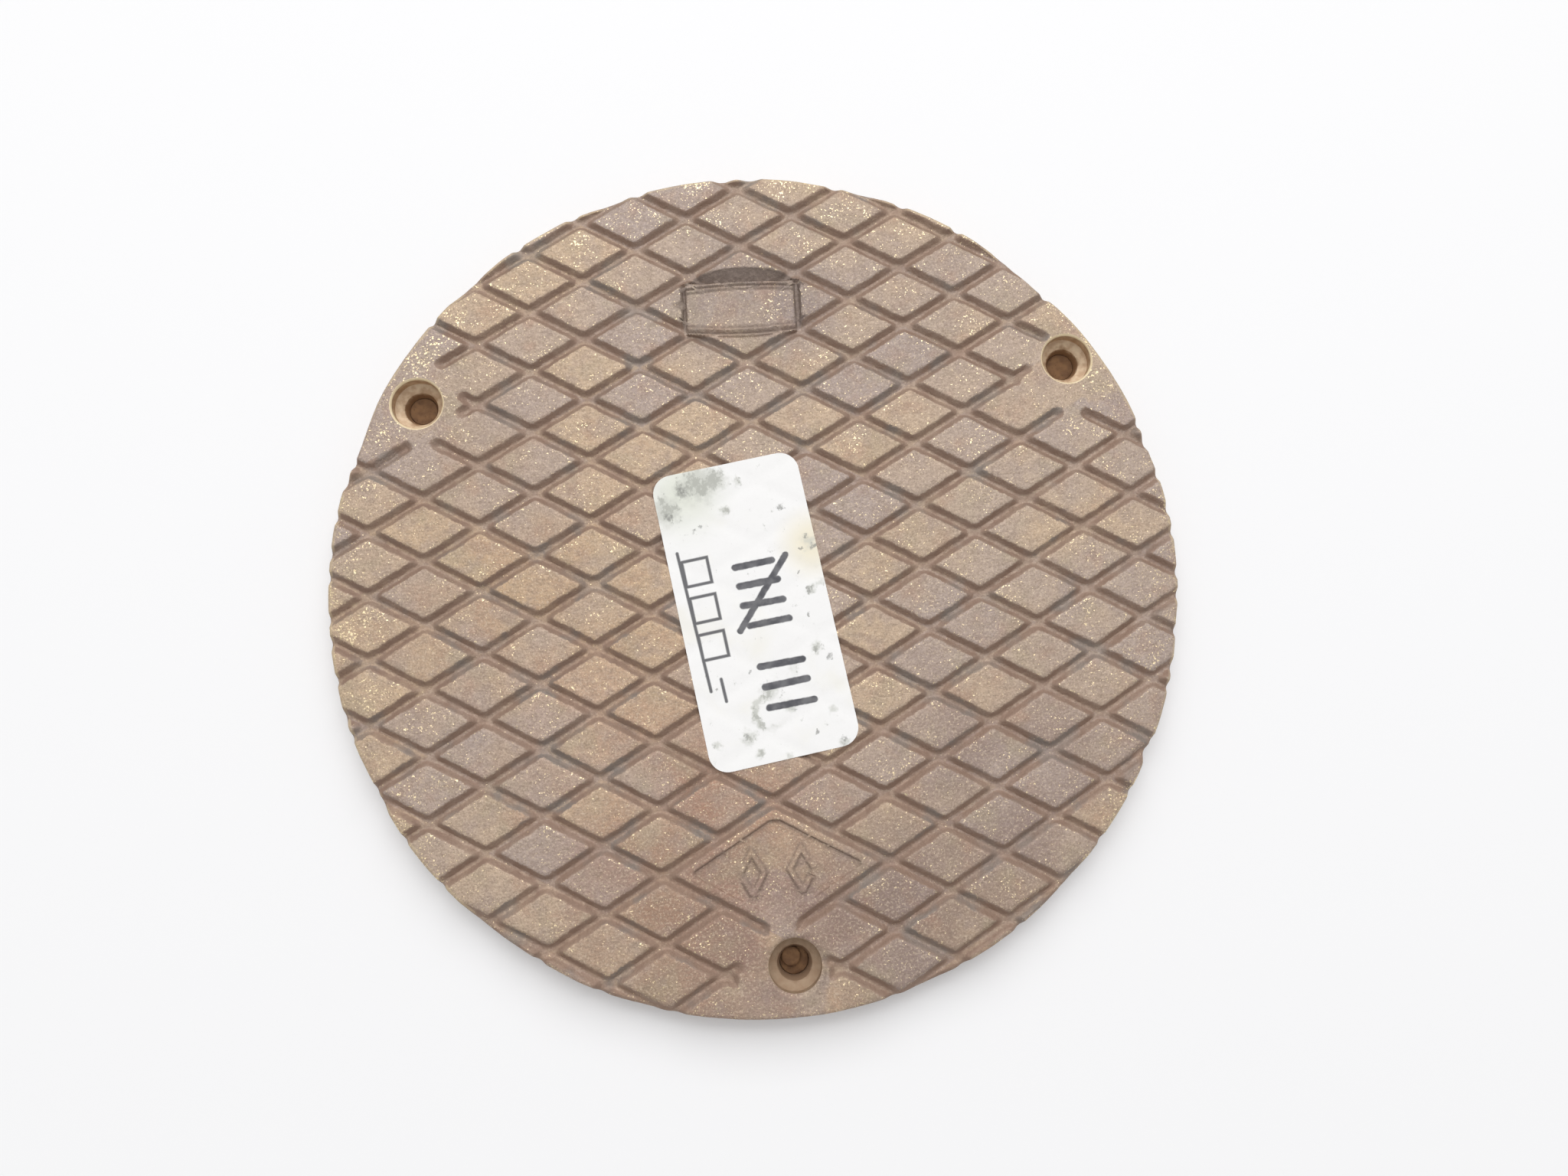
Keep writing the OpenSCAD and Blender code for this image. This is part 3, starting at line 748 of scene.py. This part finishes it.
def buildCover():
    s = coverSet
    rim = s["radius"] - s["edgeRound"]
    # the tread's grid is made a slab and a cylinder cuts it round
    bm = treadGrid()
    print("tread grid", len(bm.faces), "faces")
    made = bmesh.ops.extrude_face_region(bm, geom=bm.faces[:])["geom"]
    upper = [g for g in made if isinstance(g, bmesh.types.BMVert)]
    bmesh.ops.translate(bm, verts=upper, vec=(0, 0, s["slab"]))
    bmesh.ops.recalc_face_normals(bm, faces=bm.faces[:])
    slab = toObject(bm, "castCover")
    over = s["slab"] + 2
    cylinder = spun([(0, -1), (rim, -1), (rim, over), (0, over)], s["rimSides"])
    combined(slab, "INTERSECT", [toObject(cylinder, "cylinder")])
    bm = bmesh.new()
    bm.from_mesh(slab.data)
    bpy.data.objects.remove(slab)
    bmesh.ops.scale(bm, verts=bm.verts, vec=(1 / mm, 1 / mm, 1 / mm))
    lower = [f for f in bm.faces if min(v.co.z for v in f.verts) < s["slab"] - 0.1]
    bmesh.ops.delete(bm, geom=lower, context="FACES")
    bmesh.ops.remove_doubles(bm, verts=bm.verts, dist=0.02)
    print("tread cut round,", len(bm.faces), "faces")

    # heights of the tread, then the rim is drawn out and down ring by ring
    for vert in bm.verts:
        x, y = vert.co.xy
        nearRim = smooth(rim - s["rimWearWide"], rim, vert.co.xy.length)
        rimWear = s["rimWear"] * nearRim * (1 + wave(x, y, 7, 9))
        vert.co.z = s["top"] - treadAt(x, y)[0] - rimWear - 0.012 * (1 + wave(x, y, 4, 17))
    edges = [e for e in bm.edges if e.is_boundary]

    def nextRing(edges):
        made = bmesh.ops.extrude_edge_only(bm, edges=edges)["geom"]
        return ([g for g in made if isinstance(g, bmesh.types.BMEdge)],
                [g for g in made if isinstance(g, bmesh.types.BMVert)])

    steps = 4
    for k in range(1, steps + 1):
        a, b = math.pi / 2 * (k - 1) / steps, math.pi / 2 * k / steps
        edges, ring = nextRing(edges)
        for vert in ring:
            out = vert.co.xy.normalized()
            vert.co.xy += out * s["edgeRound"] * (math.sin(b) - math.sin(a))
            vert.co.z -= s["edgeRound"] * (math.cos(a) - math.cos(b))
    # fewer points are enough for the side and the underside
    bmesh.ops.remove_doubles(bm, verts=ring, dist=0.45)
    seatEdge = s["radius"] - s["rimDraft"]
    relief, roof = s["relief"], s["reliefDepth"]
    # down the side, in under the seat, up the relief's wall with its bends rounded, and in along its roof
    rings = [(s["radius"] - 0.02, 4.1), (s["radius"] - 0.1, 2.9), (seatEdge + 0.12, 1.6), (seatEdge, 0.45),
             (seatEdge - 0.1, 0.16), (seatEdge - 0.35, 0), (69, 0), (64, 0), (relief + 0.35, 0),
             (relief + 0.1, 0.09), (relief, 0.3), (relief, 1.2), (relief - 0.13, 1.7),
             (relief - 0.5, 2.06), (relief - 1, roof)]
    for radius, z in rings + [(radius, roof) for radius in s["roofRings"]]:
        edges = [e for e in bm.edges if e.is_boundary]
        edges, ring = nextRing(edges)
        for vert in ring:
            vert.co.xy = vert.co.xy.normalized() * radius
            vert.co.z = z
            x, y = vert.co.xy
            if z == roof:      # the roof is as cast, a little wavy
                vert.co.z -= 0.09 * (1 + wave(x, y, 9, 5)) + 0.03 * (1 + wave(x, y, 3, 6))
            if radius > 72.9:
                vert.co.xy *= 1 - 0.0012 * (1 + wave(x, y, 5, 18, z))
        if z == 0 and radius > 72 or radius in s["thinned"]:
            bmesh.ops.remove_doubles(bm, verts=ring, dist=0.9 if radius > 30 else 0.6)
    bmesh.ops.contextual_create(bm, geom=[e for e in bm.edges if e.is_boundary])
    # dents and wander of the outline, only ever inwards
    for vert in bm.verts:
        radius = vert.co.xy.length
        if radius > 60:
            angle = math.degrees(math.atan2(vert.co.y, vert.co.x)) % 360
            x, y = vert.co.xy
            dent = 0.10 * (1 + wave(x, y, 8, 12)) + 0.04 * (1 + wave(x, y, 2, 13))
            for place, width, depth in s["dents"]:
                away = (angle - place + 180) % 360 - 180
                dent += depth * math.exp(-(away / width) ** 2)
            vert.co.xy *= 1 - dent * smooth(60, s["radius"], radius) / s["radius"]
    bmesh.ops.recalc_face_normals(bm, faces=bm.faces[:])
    return bm


def holeCutters():
    # bodies of what the drills took out, from below the cover to above it
    h = holeSet
    bore, mouth, top, past = h["bore"], h["mouth"], coverSet["top"], h["past"]
    pointDepth = (bore - h["throat"]) / math.tan(math.radians(h["pointAngle"] / 2))
    profile = [(0, -1), (h["hole"], -1), (h["hole"], top - h["boreDepth"] - pointDepth - h["throatDepth"]),
               (h["throat"], top - h["boreDepth"] - pointDepth), (bore, top - h["boreDepth"]),
               (bore, top - mouth * 1.15), (bore + mouth * 0.3, top - mouth * 0.6),
               (bore + mouth, top), (bore + mouth + 0.5, top + past), (0, top + past)]
    cutters = []
    for k in range(h["count"]):
        cutter = toObject(spun(profile, h["sides"], holePlace(k)), "cutter%d" % k)
        cutter.data.materials.append(bronze)
        cutter.data.materials.append(drilled)
        for face in cutter.data.polygons:
            face.material_index = 1
        cutters.append(cutter)
    return cutters


def markSurface(obj):
    # what the material needs to know of the shape: worn edges, the way into the grooves, grime and painted
    # shade in the badge and the large diamond, and a tint for each diamond
    mesh = obj.data
    s, w = coverSet, wearSet
    worn, groove, grimeAndShade, tint = (
        mesh.attributes.new(name, "FLOAT", "POINT") for name in ("worn", "groove", "grimeAndShade", "tint"))
    tints = {}
    rng = random.Random(11)
    for vert in mesh.vertices:
        x, y, z = vert.co / mm
        if z < w["sideHeight"]:
            groove.data[vert.index].value = -1
            continue
        drop, edge, dirtAndShade = treadAt(x, y)
        fromRim = s["radius"] - math.hypot(x, y)
        nearRim = smooth(*w["rim"], fromRim) * smooth(*w["rimHeight"], z) * (0.5 + 0.5 * smooth(-70, -50, y))
        # tops near the rim are rubbed too, most on the left
        outer = (smooth(*w["outer"], fromRim) * smooth(0.3, -0.1, edge) * smooth(-58, -30, y)
                 * (0.4 + 0.25 * smooth(0, -50, x)))
        worn.data[vert.index].value = max(w["edge"] * hump(edge + 0.05, w["edgeWide"]), outer, nearRim)
        groove.data[vert.index].value = max(edge, -1)
        grimeAndShade.data[vert.index].value = dirtAndShade
        u, v = latticeOf(x, y)
        key = (round(u / s["pitch"]), round(v / s["pitch"]))
        if bossStrip(x, y) < 0.4:
            key = ("boss", round(math.degrees(math.atan2(y, x)) / 120))
        if key not in tints:
            tints[key] = rng.random()
        tint.data[vert.index].value = tints[key]


castCover = toObject(buildCover(), "castCover")
print("cover built,", len(castCover.data.polygons), "faces")
castCover.data.materials.append(bronze)
castCover.data.materials.append(drilled)
combined(castCover, "DIFFERENCE", holeCutters())
markSurface(castCover)
castCover.data.shade_smooth()
castCover.data.set_sharp_from_angle(angle=math.radians(36))
print("cover drilled,", len(castCover.data.polygons), "faces")


# What lies in the bottoms of the screw holes

soilSet = {
    # level of its top under the tread, how far it is off the hole's middle, and its radius
    "plugs": ((4.5, (0, 0), 2.49), (4.5, (0, 0), 2.49), (4.7, (-0.5, 0.72), 1.6)),
    "wide": 2.49, "bottom": 0.02, "lowLevel": 0.6, "sides": 28,
}


def buildSoil():
    s = soilSet
    bm = bmesh.new()
    for k, (level, off, radius) in enumerate(s["plugs"]):
        top = coverSet["top"] - level
        x, y = holePlace(k)
        parts = [(radius, s["bottom"], top, off)]
        if radius < s["wide"]:       # a lower level shows beside the narrower one
            parts = [(radius, s["lowLevel"], top, off), (s["wide"], s["bottom"], s["lowLevel"], (0, 0))]
        for r, low, high, (ox, oy) in parts:
            profile = [(0, low), (r, low), (r, high - 0.25), (r - 0.12, high - 0.06), (r * 0.7, high),
                       (0, high - 0.05)]
            plug = spun(profile, s["sides"], (x + ox, y + oy))
            mesh = bpy.data.meshes.new("soil")
            plug.to_mesh(mesh)
            plug.free()
            bm.from_mesh(mesh)
            bpy.data.meshes.remove(mesh)
    for vert in bm.verts:
        if vert.co.z > 0.3:
            vert.co.z += 0.10 * wave(vert.co.x, vert.co.y, 1.1, 40)
    return bm


soilPlugs = toObject(buildSoil(), "packedSoil")
soilPlugs.data.materials.append(soil)
soilPlugs.data.shade_smooth()
soilPlugs.data.set_sharp_from_angle(angle=math.radians(50))
print("soil built")


# The paper label

def buildLabel():
    s = labelSet
    bm = bmesh.new()
    nx, ny = round(s["width"] / s["cell"]), round(s["height"] / s["cell"])
    bmesh.ops.create_grid(bm, x_segments=nx, y_segments=ny, size=0.5)
    halfX, halfY, r = s["width"] / 2, s["height"] / 2, s["corner"]
    for vert in bm.verts:
        x, y = vert.co.x * s["width"], vert.co.y * s["height"]
        a, b = (abs(x) - halfX + r) / r, (abs(y) - halfY + r) / r
        if a > 0 and b > 0:      # the square corner of the grid is drawn in to a round one
            k = max(a, b) / math.hypot(a, b)
            x = math.copysign(halfX - r + a * k * r, x)
            y = math.copysign(halfY - r + b * k * r, y)
        vert.co = (x, y, 0)
    made = bmesh.ops.extrude_face_region(bm, geom=bm.faces[:])["geom"]
    upper = [g for g in made if isinstance(g, bmesh.types.BMVert)]
    bmesh.ops.translate(bm, verts=upper, vec=(0, 0, s["thick"]))
    turn = Matrix.Rotation(math.radians(s["turn"]), 3, "Z")
    bmesh.ops.rotate(bm, verts=bm.verts, cent=(0, 0, 0), matrix=turn)
    bmesh.ops.translate(bm, verts=bm.verts, vec=(*s["centre"], coverSet["top"]))
    for vert in bm.verts:        # the paper sinks a little into the grooves
        x, y = vert.co.xy
        sag = smooth(-0.6, 1.1, islandEdge(x, y))
        vert.co.z -= s["sag"] * sag * (1 + 0.5 * wave(x, y, 5, 20)) + 0.012 * (1 + wave(x, y, 4, 21))
    bmesh.ops.recalc_face_normals(bm, faces=bm.faces[:])
    return bm


paperLabel = toObject(buildLabel(), "paperLabel")
paperLabel.data.materials.append(paper)
paperLabel.data.shade_smooth()
paperLabel.data.set_sharp_from_angle(angle=math.radians(50))
print("label built")

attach(castCover, "root")
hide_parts("cover")
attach(soilPlugs, "root")
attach(paperLabel, "root")
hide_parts("paper_label")


# Floor, light and world

worldSet = {"soft": 0.38, "seen": 0.96}        # strength as light, and as the background that is seen
floorSet = {
    "half": 1500,              # mm
    "fade": (100, 420),        # mm from the middle, where it starts to fade and is white
    "colour": "#F9F9FA", "rough": 0.8,
}


def floorPlane():
    # A laminate tabletop, matt and white, wide enough to fill low views. Seen directly, it fades into the
    # white background well away from the cover and its shadow.
    mat, add, place, grain = newMaterial("laminate tabletop, matt white")
    bm = bmesh.new()
    bmesh.ops.create_grid(bm, x_segments=1, y_segments=1, size=floorSet["half"])
    obj = toObject(bm, "floor")
    camera, glossy, through = (
        add("LightPath", out="Is %s Ray" % name) for name in ("Camera", "Glossy", "Transmission"))
    seen = add("Math MAXIMUM", camera, add("Math MAXIMUM", glossy, through))
    far = add("Math MULTIPLY", add("MapRange", add("VectorMath LENGTH", place), *floorSet["fade"]), seen)
    bump = add("Bump", Strength=0.02, Distance=0.1 * mm, Height=grain(8, 1, seed=41))
    table = add("BsdfPrincipled", Normal=bump, Base_Color=srgb(floorSet["colour"]),
                Roughness=floorSet["rough"])
    beyond = add("Emission", (1, 1, 1, 1), worldSet["seen"])
    add("OutputMaterial", add("MixShader", far, table, beyond))
    obj.data.materials.append(mat)
    return obj


floorPlane()

lampSet = {
    # place and size in metres, power in watts
    "key": {"place": (0.08, 1.5, 1.65), "size": (2.5, 1.7), "power": 31},
    "above": {"place": (0.0, 0.35, 2.0), "size": (1.8, 1.8), "power": 14},
}
for name, lamp in lampSet.items():
    data = bpy.data.lights.new(name, "AREA")
    data.shape = "RECTANGLE"
    data.size, data.size_y = lamp["size"]
    data.energy = lamp["power"]
    obj = bpy.data.objects.new(name, data)
    obj.location = lamp["place"]
    obj.rotation_euler = (-Vector(lamp["place"])).to_track_quat("-Z", "Y").to_euler()
    bpy.context.scene.collection.objects.link(obj)

world = bpy.data.worlds.new("studio")
bpy.context.scene.world = world
world.use_nodes = True
world.node_tree.nodes.clear()
add = functools.partial(addNode, world.node_tree)
soft, seen = (add("Background", (1, 1, 1, 1), worldSet[name]) for name in ("soft", "seen"))
add("OutputWorld", add("MixShader", add("LightPath", out="Is Camera Ray"), soft, seen))

bpy.context.scene.view_settings.view_transform = "Standard"
print("floor, light and world set")
